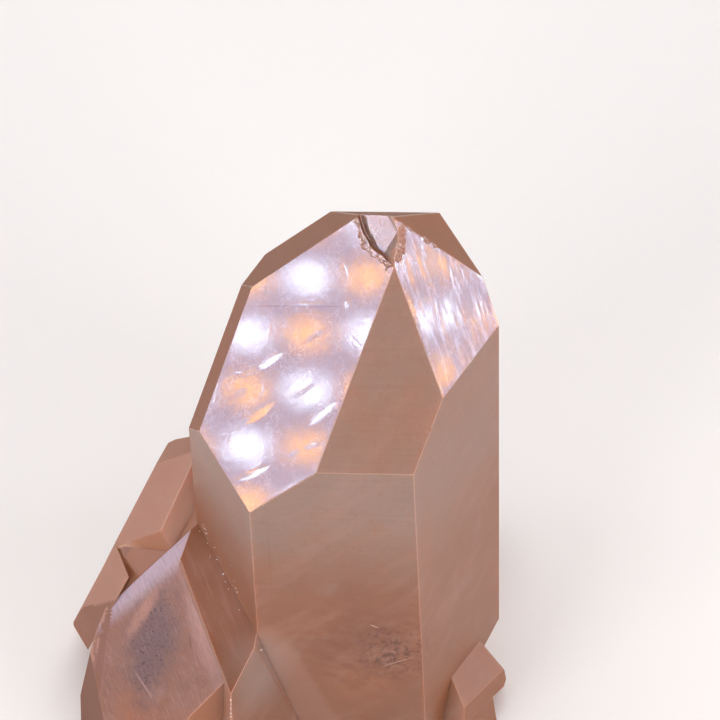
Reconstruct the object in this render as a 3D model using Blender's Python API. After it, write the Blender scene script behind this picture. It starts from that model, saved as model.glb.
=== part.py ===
"""Quartz crystal: one large upright prism with a broken tip, and smaller crystals grown together with its foot.

A face of a crystal is (azimuth of its outward normal, tilt of that normal from upright, distance in mm).
Azimuths run anticlockwise from the right-hand side, so the front is at -90 degrees.
Distances are measured from a point on the axis of the large crystal, level with its front edge.
"""

from math import cos, radians, sin

import bmesh
import bpy
from mathutils import Matrix, Vector

MM = 0.001
NAME = "quartz_crystal"

# Level of the flat cut under the foot, on which the whole stands
FOOT_LEVEL = -57.0

# Shift of everything, so that the middle of the flat cut's outline box is at the origin
STAND = (6.32, -0.71, -FOOT_LEVEL)

# Side of the block that a crystal is cut from
BLOCK_SIDE = 160.0

# Two cuts closer than this are one
CUT_TOLERANCE = 1e-7

# Six prism faces, front first and then to the right
PRISM_FACES = (
    (-90.0, 90.4, 12.57),
    (-30.45, 89.6, 13.15),
    (29.4, 90.5, 14.67),
    (89.4, 89.9, 12.57),
    (149.8, 90.1, 13.15),
    (-150.2, 90.15, 13.78),
)

# Six tip faces in the same order, of which the front left one is the largest
TIP_FACES = (
    (-89.8, 51.8, 9.87),
    (-29.6, 51.75, 14.12),
    (30.3, 51.9, 17.67),
    (90.2, 51.8, 15.8),
    (150.2, 51.9, 11.52),
    (-149.6, 51.65, 6.23),
)

# Narrow face between the left tip faces, and the break at the foot of the right-hand edge
NARROW_FACE = (180.3, 65.65, 9.95)
FOOT_BREAK = (-3.3, 133.2, 44.0)

LARGE_CRYSTAL = (*PRISM_FACES, *TIP_FACES, NARROW_FACE, FOOT_BREAK)

# Smaller crystals: slanting faces first, then the sides that carry their outlines
BACK_LEFT_TALL = (
    (-160.0, 60.0, 1.4),
    (-80.0, 69.4, -12.6),
    (-120.0, 86.2, 8.4),
    (146.5, 50.0, -1.7),
    (119.6, 59.2, 0.86),
    (104.8, 56.3, -3.6),
    (158.0, 73.1, 12.13),
    (-175.3, 93.2, 31.5),
    (-148.8, 109.1, 39.3),
    (95.0, 88.0, 11.0),
    (0.0, 90.0, -6.0),
)
BACK_LEFT_LOW = (
    (-158.0, 61.0, 1.9),
    (21.7, 80.0, -27.97),
    (155.6, 73.6, 12.1),
    (-175.3, 93.2, 32.0),
    (-148.8, 109.1, 39.84),
    (-21.9, 108.6, -7.86),
    (80.0, 90.0, 7.0),
)
FRONT_LEFT_BROAD = (
    (-145.0, 54.0, -5.58),
    (138.1, 65.2, -1.63),
    (161.8, 77.6, 14.08),
    (166.2, 80.5, 17.34),
    (-160.0, 78.9, 18.51),
    (-80.0, 84.8, 9.68),
    (11.5, 84.8, -17.89),
    (180.0, 90.0, 28.8),
    (90.0, 90.0, 4.0),
)
FRONT_LEFT_FLANK = (
    (-135.0, 41.1, -13.24),
    (164.5, 78.3, 9.15),
    (-161.9, 100.9, 22.72),
    (136.7, 64.9, -2.06),
    (-42.0, 82.2, -1.97),
    (-20.0, 78.0, -10.33),
    (90.0, 90.0, 4.0),
)
RIGHT_FOOT_UPPER = (
    (-27.5, 57.6, -13.3),
    (-33.0, 79.7, 6.6),
    (-115.0, 72.0, -12.05),
    (37.7, 70.7, -6.49),
    (13.8, 84.6, 10.43),
    (-8.7, 101.2, 27.05),
    (-42.1, 118.1, 38.43),
    (140.0, 90.0, -6.0),
)
RIGHT_FOOT_LOWER = (
    (-33.0, 79.7, 6.2),
    (-115.0, 78.0, -8.0),
    (11.5, 85.8, 10.08),
    (-27.5, 57.6, -14.3),
    (150.0, 90.0, -7.0),
)

GROWN_TOGETHER = {
    "back_left_tall": BACK_LEFT_TALL,
    "back_left_low": BACK_LEFT_LOW,
    "front_left_broad": FRONT_LEFT_BROAD,
    "front_left_flank": FRONT_LEFT_FLANK,
    "right_foot_upper": RIGHT_FOOT_UPPER,
    "right_foot_lower": RIGHT_FOOT_LOWER,
}

# Small crystals at the back: tip (x, y, z), azimuth and lean of the axis, width across the flats, turn
BACK_CRYSTALS = {
    "back_small_left": ((-12.0, 17.5, -30.0), 118.0, 17.0, 9.0, 12.0),
    "back_small_right": ((11.5, 18.5, -36.5), 62.0, 24.0, 8.5, 34.0),
    "back_small_low": ((0.5, 20.0, -44.0), 92.0, 33.0, 7.0, 50.0),
}

# Angle between the axis of a crystal and the normals of its tip faces
TIP_TILT = 51.8
SIDES = 6

# Shell-shaped break that took the point off: a ball sunk into the tip
BREAK_CENTRE = (2.2, 3.0, 21.6)
BREAK_RADIUS = 6.0
BREAK_ROUNDNESS = 3

COLOUR = (0.62, 0.42, 0.34, 1.0)
ROUGHNESS = 0.08


def clear_scene():
    for existing in list(bpy.data.objects):
        bpy.data.objects.remove(existing, do_unlink=True)


def new_collection(name, hidden):
    collection = bpy.data.collections.new(name)
    collection.hide_render = hidden
    bpy.context.scene.collection.children.link(collection)
    return collection


def add_object(name, mesh, collection):
    bmesh.ops.translate(mesh, verts=mesh.verts, vec=Vector(STAND) * MM)
    data = bpy.data.meshes.new(name)
    mesh.to_mesh(data)
    mesh.free()
    added = bpy.data.objects.new(name, data)
    collection.objects.link(added)
    return added


def outward(azimuth, tilt):
    """Unit normal of a face from its azimuth and its tilt from upright, in degrees."""
    around = radians(azimuth)
    down = radians(tilt)
    return Vector((sin(down) * cos(around), sin(down) * sin(around), cos(down)))


def cut_block(planes):
    """A block with all that is outside each (normal, distance in mm) cut away."""
    mesh = bmesh.new()
    bmesh.ops.create_cube(mesh, size=BLOCK_SIDE * MM)
    for normal, distance in planes:
        cut = bmesh.ops.bisect_plane(
            mesh,
            geom=mesh.verts[:] + mesh.edges[:] + mesh.faces[:],
            dist=CUT_TOLERANCE,
            plane_co=normal * distance * MM,
            plane_no=normal,
            clear_outer=True,
        )
        rim = [part for part in cut["geom_cut"] if isinstance(part, bmesh.types.BMEdge)]
        bmesh.ops.contextual_create(mesh, geom=rim)
    bmesh.ops.recalc_face_normals(mesh, faces=mesh.faces)
    return mesh


def crystal_from_faces(name, faces, collection):
    planes = [(outward(azimuth, tilt), distance) for azimuth, tilt, distance in faces]
    return add_object(name, cut_block(planes), collection)


def small_crystal(name, size, collection):
    """A six-sided crystal with an even point, its tip at a given place and its axis leaning."""
    tip, azimuth, lean, width, turn = size
    tip = Vector(tip)
    upright_to_lean = Matrix.Rotation(radians(azimuth), 3, "Z") @ Matrix.Rotation(radians(lean), 3, "Y")
    planes = []
    for side in range(SIDES):
        around = turn + side * 360.0 / SIDES
        flank = upright_to_lean @ outward(around, 90.0)
        slope = upright_to_lean @ outward(around, TIP_TILT)
        planes.append((flank, flank.dot(tip) + width / 2))
        planes.append((slope, slope.dot(tip)))
    return add_object(name, cut_block(planes), collection)


def add_boolean(target, other, operation):
    modifier = target.modifiers.new(other.name, "BOOLEAN")
    modifier.operation = operation
    modifier.solver = "EXACT"
    modifier.object = other
    other.hide_render = True
    other.display_type = "WIRE"


def tip_break(collection):
    mesh = bmesh.new()
    bmesh.ops.create_icosphere(
        mesh,
        subdivisions=BREAK_ROUNDNESS,
        radius=BREAK_RADIUS * MM,
        matrix=Matrix.Translation(Vector(BREAK_CENTRE) * MM),
    )
    return add_object("tip_break", mesh, collection)


def under_foot(collection):
    mesh = bmesh.new()
    middle = Vector((0.0, 0.0, FOOT_LEVEL - BLOCK_SIDE)) * MM
    bmesh.ops.create_cube(mesh, size=2 * BLOCK_SIDE * MM, matrix=Matrix.Translation(middle))
    return add_object("under_foot", mesh, collection)


def quartz_material():
    material = bpy.data.materials.new("milky_rose_quartz")
    material.use_nodes = True
    surface = material.node_tree.nodes["Principled BSDF"]
    surface.inputs["Base Color"].default_value = COLOUR
    surface.inputs["Roughness"].default_value = ROUGHNESS
    surface.inputs["Metallic"].default_value = 0.0
    return material


def main():
    clear_scene()
    parts = new_collection(NAME, hidden=False)
    helpers = new_collection("cutters", hidden=True)
    crystal = crystal_from_faces(NAME, LARGE_CRYSTAL, parts)
    crystal.data.materials.append(quartz_material())
    for name, faces in GROWN_TOGETHER.items():
        add_boolean(crystal, crystal_from_faces(name, faces, helpers), "UNION")
    for name, size in BACK_CRYSTALS.items():
        add_boolean(crystal, small_crystal(name, size, helpers), "UNION")
    add_boolean(crystal, tip_break(helpers), "DIFFERENCE")
    add_boolean(crystal, under_foot(helpers), "DIFFERENCE")


main()
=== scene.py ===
"""Looks of the quartz crystal: a skin worked out face by face, growth marks, a broken tip and what lies inside.

Lengths here are millimetres in the frame of the large crystal, as in the CAD: its long axis is +Z and its
front edge is at height 0. A face is (azimuth of its outward normal, tilt of that normal from upright,
distance from the origin), in degrees and millimetres. Azimuths run anticlockwise from the right-hand side,
so the front is at -90.
"""

from itertools import combinations
from math import ceil

import bpy
import numpy as np
from mathutils import Matrix
from mathutils.geometry import delaunay_2d_cdt

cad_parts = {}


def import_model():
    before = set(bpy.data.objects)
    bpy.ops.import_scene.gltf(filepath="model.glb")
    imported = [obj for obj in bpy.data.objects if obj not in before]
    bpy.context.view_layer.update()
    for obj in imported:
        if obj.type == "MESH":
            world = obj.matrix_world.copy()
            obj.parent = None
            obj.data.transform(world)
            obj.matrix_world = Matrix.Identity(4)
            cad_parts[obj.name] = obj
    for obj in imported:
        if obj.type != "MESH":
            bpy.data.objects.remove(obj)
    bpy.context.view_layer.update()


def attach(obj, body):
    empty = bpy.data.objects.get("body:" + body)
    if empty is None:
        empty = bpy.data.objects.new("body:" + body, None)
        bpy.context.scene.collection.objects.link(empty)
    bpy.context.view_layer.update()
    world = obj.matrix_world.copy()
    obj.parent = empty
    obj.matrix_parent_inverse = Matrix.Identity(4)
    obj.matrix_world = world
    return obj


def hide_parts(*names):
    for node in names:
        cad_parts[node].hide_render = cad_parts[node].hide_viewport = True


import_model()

MM = 0.001
NODE = "quartz_crystal"

# Level of the flat cut under the foot, and the shift that puts the middle of the cut at the frame's origin
FOOT_LEVEL = -57.0
STAND = np.array([6.32, -0.71, -FOOT_LEVEL])

# Crystals are made this much longer than the cut, and the cut then ends them all at one level
BELOW_CUT = 3.0

# Faces of the large crystal
PRISM = {
    "front": (-90.0, 90.4, 12.57),
    "front_right": (-30.45, 89.6, 13.15),
    "back_right": (29.4, 90.5, 14.67),
    "back": (89.4, 89.9, 12.57),
    "back_left": (149.8, 90.1, 13.15),
    "front_left": (-150.2, 90.15, 13.78),
}
TIP = {
    "tip_front": (-89.8, 51.8, 9.87),
    "tip_front_right": (-29.6, 51.75, 14.12),
    "tip_back_right": (30.3, 51.9, 17.67),
    "tip_back": (90.2, 51.8, 15.8),
    "tip_back_left": (150.2, 51.9, 11.52),
    "tip_front_left": (-149.6, 51.65, 6.23),
    "tip_narrow": (180.3, 65.65, 9.95),
}
LARGE = {**PRISM, **TIP, "foot_break": (-3.3, 133.2, 44.0)}

# Faces of the crystals grown together with it
BACK_LEFT_TALL = {
    "slope": (-160.0, 60.0, 1.4),
    "steep_slope": (-80.0, 69.4, -12.6),
    "side": (-120.0, 86.2, 8.4),
    "top_left": (146.5, 50.0, -1.7),
    "top": (119.6, 59.2, 0.86),
    "top_right": (104.8, 56.3, -3.6),
    "left": (158.0, 73.1, 12.13),
    "left_under": (-175.3, 93.2, 31.5),
    "left_foot": (-148.8, 109.1, 39.3),
    "back": (95.0, 88.0, 11.0),
    "inner": (0.0, 90.0, -6.0),
}
BACK_LEFT_LOW = {
    "slope": (-158.0, 61.0, 1.9),
    "top": (21.7, 80.0, -27.97),
    "left": (155.6, 73.6, 12.1),
    "left_under": (-175.3, 93.2, 32.0),
    "left_foot": (-148.8, 109.1, 39.84),
    "front": (-21.9, 108.6, -7.86),
    "back": (80.0, 90.0, 7.0),
}
FRONT_LEFT_BROAD = {
    "broad": (-145.0, 54.0, -5.58),
    "top": (138.1, 65.2, -1.63),
    "left_upper": (161.8, 77.6, 14.08),
    "left_lower": (166.2, 80.5, 17.34),
    "dark_side": (-160.0, 78.9, 18.51),
    "orange_front": (-80.0, 84.8, 9.68),
    "right": (11.5, 84.8, -17.89),
    "left": (180.0, 90.0, 28.8),
    "back": (90.0, 90.0, 4.0),
}
FRONT_LEFT_FLANK = {
    "dark_slope": (-135.0, 41.1, -13.24),
    "left": (164.5, 78.3, 9.15),
    "left_under": (-155.3, 84.7, 14.18),
    "top": (136.7, 64.9, -2.06),
    "grey_front": (-42.0, 82.2, -1.97),
    "front_foot": (-95.0, 97.0, 27.0),
    "right": (-20.0, 78.0, -10.33),
    "back": (90.0, 90.0, 4.0),
}
RIGHT_FOOT_UPPER = {
    "slope": (-27.5, 57.6, -13.3),
    "front": (-33.0, 79.7, 6.6),
    "left": (-115.0, 72.0, -12.05),
    "top_right": (37.7, 70.7, -6.49),
    "right": (13.8, 84.6, 10.43),
    "right_under": (-8.7, 101.2, 27.05),
    "right_foot": (-42.1, 118.1, 38.43),
    "inner": (140.0, 90.0, -6.0),
}
RIGHT_FOOT_LOWER = {
    "front": (-33.0, 79.7, 6.2),
    "left": (-115.0, 78.0, -8.0),
    "right": (11.5, 85.8, 10.08),
    "slope": (-27.5, 57.6, -14.3),
    "inner": (150.0, 90.0, -7.0),
}

# Quartz that fills the hollow between the two crystals at the back left and the broad one
HOLLOW_FILLING = {
    "olive_slope": (-142.2, 54.7, -5.78),
    "under_slope": (-158.0, 61.0, 1.6),
    "left": (180.0, 90.0, 24.6),
    "right": (0.0, 90.0, -15.0),
    "front": (-90.0, 90.0, 4.0),
    "back": (90.0, 90.0, 2.5),
}

# Small crystals at the back: tip (x, y, z), azimuth and lean of the axis, width across the flats, turn
BACK_CRYSTALS = {
    "back_small_left": ((-12.0, 17.5, -30.0), 118.0, 17.0, 9.0, 12.0),
    "back_small_right": ((11.5, 18.5, -36.5), 62.0, 24.0, 8.5, 34.0),
    "back_small_low": ((0.5, 20.0, -44.0), 92.0, 33.0, 7.0, 50.0),
}

# Angle between the axis of a small crystal and the normals of its tip faces
TIP_TILT = 51.8
SIDES = 6

# How far the faces of a small crystal lie inside an even one
UNEVEN = np.array([0.0, 0.31, 0.12, 0.4, 0.07, 0.23])

# Distance between neighbouring points of a face's net: on the mirror-bright tip faces, on the faces
# that the front view shows, and on the rest
FINE, MEDIUM, COARSE = 0.125, 0.4, 0.9

# The same on the faces of the break, and on the level face under the cut
BREAK_SPACING, UNDER_SPACING = 0.15, 4.0

# Width of the narrow flat that takes the sharpness off each edge
EDGE_WIDTH = 0.09

# Places closer than this are one, and the share of its length by which a side is bowed for the net
SNAP = 1e-5
BOW = 0.004

# Edges that turn more than this stay sharp in the shading
SHARP_ANGLE = 14.0

# Sides of the square of random values that the noise repeats, and the grid of a flake's ball
LATTICE = 64
BALL_ROWS, BALL_COLUMNS = 40, 80

# Growth marks of the large front left tip face. Each is a leaf-shaped facet that leans a little:
# (across, up, length, turn from the level direction, width, slope)
LEAVES = (
    (-2.85, -2.05, 4.23, 72.5, 1.0, -0.0093),
    (-5.24, -0.27, 3.22, -49.7, 0.45, 0.0045),
    (-1.77, -5.03, 2.26, -56.7, 0.9, 0.0032),
    (-0.04, -6.69, 4.97, 75.0, 1.15, -0.0068),
    (6.13, -0.35, 4.91, 79.2, 1.0, -0.0068),
    (3.87, -11.37, 5.25, 65.5, 0.9, -0.0075),
    (-0.9, -10.93, 2.57, 91.1, 0.9, 0.0075),
    (2.75, -0.71, 4.9, 71.2, 0.45, -0.0115),
    (-0.31, 4.05, 3.47, 69.3, 0.45, 0.0115),
    (6.31, -6.19, 3.08, 71.3, 0.45, -0.0105),
    (7.65, -3.42, 3.13, 57.3, 0.45, 0.0115),
    (-2.22, 11.42, 1.76, -18.8, 0.5, -0.006),
    (0.59, 9.35, 1.34, 81.7, 0.6, 0.0085),
    (-3.43, -7.69, 3.68, 73.7, 0.8, -0.006),
    (-4.64, -6.12, 4.68, 58.3, 0.35, -0.01),
    (4.13, 7.74, 2.31, 9.0, 0.45, -0.006),
    (-4.51, 2.04, 2.88, 1.6, 0.3, 0.0088),
    (-5.29, -6.79, 3.62, 52.3, 0.8, 0.0055),
    (3.52, -11.24, 3.12, -102.6, 0.4, 0.0152),
    (8.33, 0.58, 4.07, 107.1, 0.35, 0.0077),
    (-4.74, 4.08, 25.47, 45.4, 0.26, -0.006),
)

# Direction of the streaks on the front right tip face, from its level direction
STREAK_TURN = 66.0

# The break that took the point off, as the faces of the piece that is missing
TIP_BREAK = {
    "rough_facet": (30.4, 128.35, -5.55),
    "smooth_facet": (11.4, 125.2, -4.92),
    "wall_upper": (-171.1, 122.0, -11.34),
    "wall_middle": (-157.6, 128.9, -13.5),
    "wall_lower": (-121.5, 148.0, -16.1),
    "wall_right": (28.8, 85.44, 8.65),
    "above": (0.0, 0.0, 24.0),
    "far": (90.0, 90.0, 16.0),
    "right": (0.0, 90.0, 14.0),
}

# Where the missing piece ends, as a distance below the origin: this is 8 mm above it
BREAK_FLOOR = -8.0

# Small flakes gone from edges and from beside the break: (x, y, z, radius)
NICKS = (
    (6.84, 3.64, 18.55, 0.9),
    (6.92, 2.97, 17.97, 0.8),
    (6.82, 2.16, 17.77, 1.0),
    (6.54, 1.45, 17.39, 0.8),
    (7.25, 4.81, 18.95, 1.0),
    (7.86, 4.82, 18.12, 0.9),
    (8.67, 4.82, 17.31, 0.9),
    (9.38, 4.71, 16.30, 0.9),
    (10.13, 4.75, 15.42, 0.8),
    (9.45, -9.86, 3.79, 0.4),
)

# The broken faces themselves, which face the other way
CHIP = {
    f"chip_{name}": (azimuth + 180.0, 180.0 - tilt, -distance)
    for name, (azimuth, tilt, distance) in TIP_BREAK.items()
}


def outward(azimuth, tilt):
    """Unit normals from azimuths and tilts in degrees: (sin t cos a, sin t sin a, cos t)."""
    around, down = np.radians(azimuth), np.radians(tilt)
    return np.stack([np.sin(down) * np.cos(around), np.sin(down) * np.sin(around), np.cos(down)], axis=-1)


def corners_of(normals, distances):
    """Corners of the solid: each point where three face planes meet that lies outside no other plane."""
    trios = np.array(list(combinations(range(len(normals)), 3)))
    trios = trios[np.abs(np.linalg.det(normals[trios])) > SNAP]
    meets = np.linalg.solve(normals[trios], distances[trios][..., None])[..., 0]
    kept = (meets @ normals.T <= distances + SNAP).all(axis=1)
    return np.unique(np.round(meets[kept], 6), axis=0)


def rings_of(corners, normals, distances):
    """For each face the numbers of its corners in order round it, seen from outside."""
    rings = []
    touching = np.abs(corners @ normals.T - distances) < 2 * SNAP
    for face, normal in enumerate(normals):
        ring = np.flatnonzero(touching[:, face])
        across, up = face_axes(normal)
        spokes = corners[ring] - corners[ring].mean(axis=0) if len(ring) else corners[ring]
        rings.append(ring[np.argsort(np.arctan2(spokes @ up, spokes @ across))])
    return rings


def face_axes(normal):
    """A face's own level direction and its direction of steepest rise."""
    across = np.cross([0.0, 0.0, 1.0], normal)
    if np.linalg.norm(across) < SNAP:
        across = np.array([1.0, 0.0, 0.0])
    across = across / np.linalg.norm(across)
    return across, np.cross(normal, across)


def with_edge_flats(normals, distances, width):
    """The face planes, and for each edge one more plane that leans midway between its two faces.
    That plane lies (width / 2) tan(turn / 2) inside the edge, so it leaves a flat of the given width."""
    corners = corners_of(normals, distances)
    touching = np.abs(corners @ normals.T - distances) < 2 * SNAP
    pairs = np.array(list(combinations(range(len(normals)), 2)))
    shared = touching[:, pairs[:, 0]] & touching[:, pairs[:, 1]]
    edges = shared.sum(axis=0) >= 2
    pairs, shared = pairs[edges], shared[:, edges]
    on_edge = corners[shared.argmax(axis=0)]
    middle = normals[pairs[:, 0]] + normals[pairs[:, 1]]
    half_turn = np.arccos(np.clip(np.linalg.norm(middle, axis=1) / 2, 0.0, 1.0))
    middle /= np.linalg.norm(middle, axis=1)[:, None]
    inset = width / 2 * np.tan(half_turn)
    flats = (middle * on_edge).sum(axis=1) - inset
    return np.vstack([normals, middle]), np.concatenate([distances, flats]), pairs


def net_of(normals, distances, spacings, reliefs):
    """One closed net over all faces of a crystal.
    Each edge is divided evenly, once for both of its faces. Inside each face lie points in staggered rows,
    raised along its normal by relief(across, up, distance from the rim), and triangles join them all."""
    corners = corners_of(normals, distances)
    rings = rings_of(corners, normals, distances)
    steps = {}
    for face, ring in enumerate(rings):
        for a, b in zip(ring, np.roll(ring, -1)):
            edge = (min(a, b), max(a, b))
            length = np.linalg.norm(corners[a] - corners[b])
            steps[edge] = max(steps.get(edge, 1), ceil(length / spacings[face]))
    points, total, rungs = [corners], len(corners), {}
    for (a, b), count in steps.items():
        share = np.arange(1, count)[:, None] / count
        points.append(corners[a] * (1 - share) + corners[b] * share)
        rungs[a, b] = np.arange(total, total + count - 1)
        total += count - 1
    placed = np.vstack(points)
    triangles = []
    for face, ring in enumerate(rings):
        if len(ring) < 3:
            continue
        axes = np.stack(face_axes(normals[face]), axis=1)
        rim, bowed = [], []
        for a, b in zip(ring, np.roll(ring, -1)):
            between = rungs[a, b] if a < b else rungs[b, a][::-1]
            rim.append(np.concatenate([[a], between]))
            bowed.append(bowed_side(placed[rim[-1]] @ axes, corners[b] @ axes))
        rim = np.concatenate(rim)
        outline = corners[ring] @ axes
        inner, depth = points_inside(outline, spacings[face])
        flat = np.vstack([*bowed, inner])
        found = delaunay_2d_cdt(flat, [], [list(range(len(rim)))], 1, 1e-9, False)
        numbers = np.concatenate([rim, np.arange(total, total + len(inner))])
        triangles.append(numbers[np.array(found[2])])
        raised = distances[face] + reliefs[face](inner[:, 0], inner[:, 1], depth)
        points.append(inner @ axes.T + raised[:, None] * normals[face])
        total += len(inner)
    return np.vstack(points), np.vstack(triangles)


def bowed_side(side, end):
    """A side's points moved out by 4 t (1 - t) times a small share of its length, so no three are in line.
    The triangles are found between these, and the points themselves stay where they are."""
    run = end - side[0]
    share = np.arange(len(side))[:, None] / len(side)
    return side + 4 * share * (1 - share) * BOW * np.array([[run[1], -run[0]]])


def points_inside(outline, spacing):
    """Points in staggered rows inside a convex outline, and how far each is from the rim."""
    low, high = outline.min(axis=0), outline.max(axis=0)
    rows = np.arange(low[1], high[1], spacing * np.sqrt(0.75))
    columns = np.arange(low[0] - spacing, high[0] + spacing, spacing)
    across, up = np.meshgrid(columns, rows)
    across = across + spacing / 2 * (np.arange(len(rows)) % 2)[:, None]
    points = np.stack([across.ravel(), up.ravel()], axis=1)
    sides = np.roll(outline, -1, axis=0) - outline
    lengths = np.maximum(np.linalg.norm(sides, axis=1), SNAP)
    inward = np.stack([-sides[:, 1], sides[:, 0]], axis=1) / lengths[:, None]
    depth = ((points[:, None] - outline[None]) * inward[None]).sum(axis=2).min(axis=1)
    kept = depth > 0.55 * spacing
    return points[kept], depth[kept]


def mesh_object(name, points, triangles):
    """A mesh piece from points in millimetres and triangles, moved to where the CAD stands."""
    mesh = bpy.data.meshes.new(name)
    mesh.vertices.add(len(points))
    mesh.vertices.foreach_set("co", ((points + STAND) * MM).astype(np.float32).ravel())
    mesh.loops.add(triangles.size)
    mesh.loops.foreach_set("vertex_index", triangles.astype(np.int32).ravel())
    mesh.polygons.add(len(triangles))
    mesh.polygons.foreach_set("loop_start", np.arange(0, triangles.size, 3, dtype=np.int32))
    mesh.update()
    mesh.validate()
    piece = bpy.data.objects.new(name, mesh)
    bpy.context.scene.collection.objects.link(piece)
    return piece


def smooth_step(low, high, value):
    """0 below low, 1 above high, and 3t^2 - 2t^3 between them."""
    share = np.clip((value - low) / (high - low), 0.0, 1.0)
    return share * share * (3 - 2 * share)


def even(across, up, rim):
    """A face with no relief."""
    return np.zeros_like(across)


def value_noise(x, y, seed):
    """Random values on a square lattice, joined smoothly: between its points each blends by 3t^2 - 2t^3."""
    lattice = np.random.default_rng(seed).random((LATTICE, LATTICE))
    column, row = np.floor(x).astype(int), np.floor(y).astype(int)
    right, above = x - column, y - row
    right, above = right * right * (3 - 2 * right), above * above * (3 - 2 * above)
    here, beside = column % LATTICE, (column + 1) % LATTICE
    low, high = row % LATTICE, (row + 1) % LATTICE
    near = lattice[low, here] * (1 - right) + lattice[low, beside] * right
    far = lattice[high, here] * (1 - right) + lattice[high, beside] * right
    return near * (1 - above) + far * above - 0.5


def turned(across, up, degrees):
    """The same places along and across a direction turned from the level one."""
    turn = np.radians(degrees)
    return across * np.cos(turn) + up * np.sin(turn), up * np.cos(turn) - across * np.sin(turn)


def leaning_facets(across, up, leaves):
    """Height of leaf-shaped facets: inside the outline |s| < width / 2 (1 - t^2), with t along the leaf from
    -1 to 1 and s across it, the surface rises evenly by the slope and falls back over the last fifth."""
    height = np.zeros_like(across)
    for centre_across, centre_up, length, turn, width, slope in leaves:
        along, side = turned(across - centre_across, up - centre_up, turn)
        half = width / 2 * np.clip(1 - (2 * along / length) ** 2, 0.0, 1.0)
        rise = np.minimum(side + half, 4 * (half - side))
        height += slope * np.clip(rise, 0.0, None)
    return height


def beyond(face, other, across, up):
    """How far places on one face lie outside the plane of another, in millimetres."""
    normal, crossing = outward(*face[:2]), outward(*other[:2])
    side, over = face_axes(normal)
    return across * (side @ crossing) + up * (over @ crossing) + face[2] * (normal @ crossing) - other[2]


def flaked_rim(across, up):
    """Depth of the flakes gone beside the break: about 0.1 mm, within an uneven distance of it."""
    away = np.maximum.reduce([
        beyond(TIP["tip_front_left"], TIP_BREAK[wall], across, up)
        for wall in ("wall_upper", "wall_middle", "wall_lower")
    ])
    away = away + 1.1 * value_noise(across / 0.7 + 30, up / 0.7 + 30, 51)
    away = away + 0.35 * value_noise(across / 0.25, up / 0.25, 52)
    lumps = 1 + 0.9 * value_noise(across / 0.35, up / 0.35, 53)
    return -0.1 * lumps * smooth_step(0.55, 0.35, away)


def crinkles(across, up, size, seed):
    """Fine creases: the size of noise, which folds over wherever the noise changes sign."""
    return np.abs(value_noise(across / size + 40, up / size + 40, seed))


def leaf_relief(across, up, rim):
    """Height of the front left tip face: growth marks, fine creases, and flakes gone beside the break."""
    height = leaning_facets(across, up, LEAVES)
    height += 0.0006 * value_noise(across / 1.3 + 40, up / 1.3 + 40, 5)
    height += 0.0013 * crinkles(across, up, 0.5, 6) + 0.0008 * crinkles(across, up, 0.3, 7)
    return height * smooth_step(0.1, 0.5, rim) + flaked_rim(across, up) * smooth_step(0.05, 0.2, rim)


def streak_relief(across, up, rim):
    """Height of the streaks: noise drawn out along their direction, in three widths."""
    along, side = turned(across, up, STREAK_TURN)
    broad = 0.006 * value_noise(side / 0.9, along / 6.0, 11)
    narrow = 0.006 * crinkles(side, along / 6, 0.5, 12)
    thin = 0.0018 * crinkles(side, along / 4, 0.3, 13)
    return (broad + narrow + thin) * smooth_step(0.05, 0.4, rim)


def prism_relief(across, up, rim):
    """Height of a prism face: wide level bands and a slow swell."""
    bands = 0.002 * value_noise(across / 9.0, up / 0.9, 21)
    swell = 0.004 * value_noise(across / 4.0, up / 5.0, 22)
    return (bands + swell) * smooth_step(0.1, 1.2, rim)


def sandy_relief(across, up, rim):
    """Height of a rough face: fine grain over low lumps."""
    grain = 0.012 * value_noise(across / 0.45, up / 0.45, 31)
    lumps = 0.02 * value_noise(across / 1.8, up / 1.8, 32)
    return (grain + lumps) * smooth_step(0.0, 0.8, rim)


def shell_relief(across, up, rim):
    """Height of a broken wall: curved ribs round one corner, and lumps."""
    ribs = 0.04 * np.sin(7.0 * np.hypot(across + 3.0, up - 9.0))
    return (ribs + 0.1 * value_noise(across / 0.5, up / 0.5, 41)) * smooth_step(0.0, 0.3, rim)


def glint_relief(across, up, rim):
    """Height of a broken face that sparkles: low steps drawn out to one side, and fine lumps."""
    along, side = turned(across, up, 25.0)
    steps = 0.045 * crinkles(side, along / 5, 0.5, 42)
    return (steps + 0.02 * crinkles(across, up, 0.35, 43)) * smooth_step(0.0, 0.3, rim)


def crystal(name, faces, spacings=None, reliefs=None, spacing=MEDIUM, below=BELOW_CUT - FOOT_LEVEL):
    """A crystal from its named faces and a level one that far below the origin, with flats along its edges.
    Spacings and reliefs are given by face name, and the other faces have the one spacing and no relief."""
    spacings, reliefs = spacings or {}, reliefs or {}
    names = [*faces, "below"]
    size = np.array([*faces.values(), (0.0, 180.0, below)])
    normals, distances, pairs = with_edge_flats(outward(size[:, 0], size[:, 1]), size[:, 2], EDGE_WIDTH)
    own = np.array([*(spacings.get(face, spacing) for face in faces), UNDER_SPACING])
    every = np.concatenate([own, own[pairs].min(axis=1)])
    relief = [reliefs.get(face, even) for face in names] + [even] * len(pairs)
    return mesh_object(name, *net_of(normals, distances, every, relief))


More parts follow.
